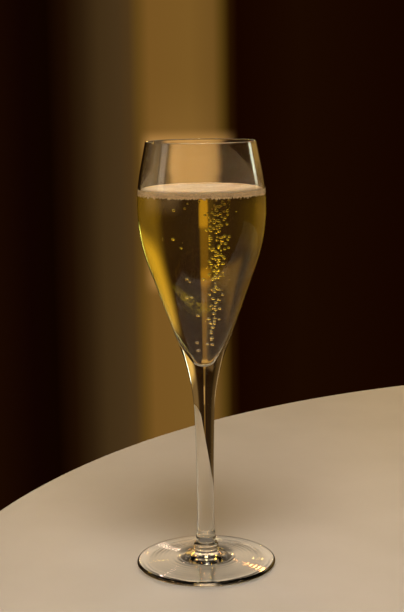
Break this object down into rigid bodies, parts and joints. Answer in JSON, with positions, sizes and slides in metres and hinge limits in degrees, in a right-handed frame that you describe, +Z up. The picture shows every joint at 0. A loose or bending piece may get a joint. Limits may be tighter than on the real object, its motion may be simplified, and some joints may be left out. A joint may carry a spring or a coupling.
{
  "type": "glass of champagne",
  "caption": "Tall-stemmed tulip flute of clear glass, filled with pale gold sparkling wine under a thin layer of foam.",
  "frame": {"origin": "centre of the foot, on the surface that the glass stands on", "axes": "+Z up along the stem, the axis that the whole glass is turned about; X and Y are any level pair"},
  "size_m": [0.069, 0.069, 0.21],
  "materials": {
    "clear_glass": "fire-polished, clear and colourless",
    "sparkling_wine": "clear pale gold liquid",
    "wine_foam": "fine wet cream-coloured bubbles"
  },
  "bodies": {
    "root": {"glass": "clear_glass", "champagne": "sparkling_wine", "foam": "wine_foam"}
  },
  "joints": []
}
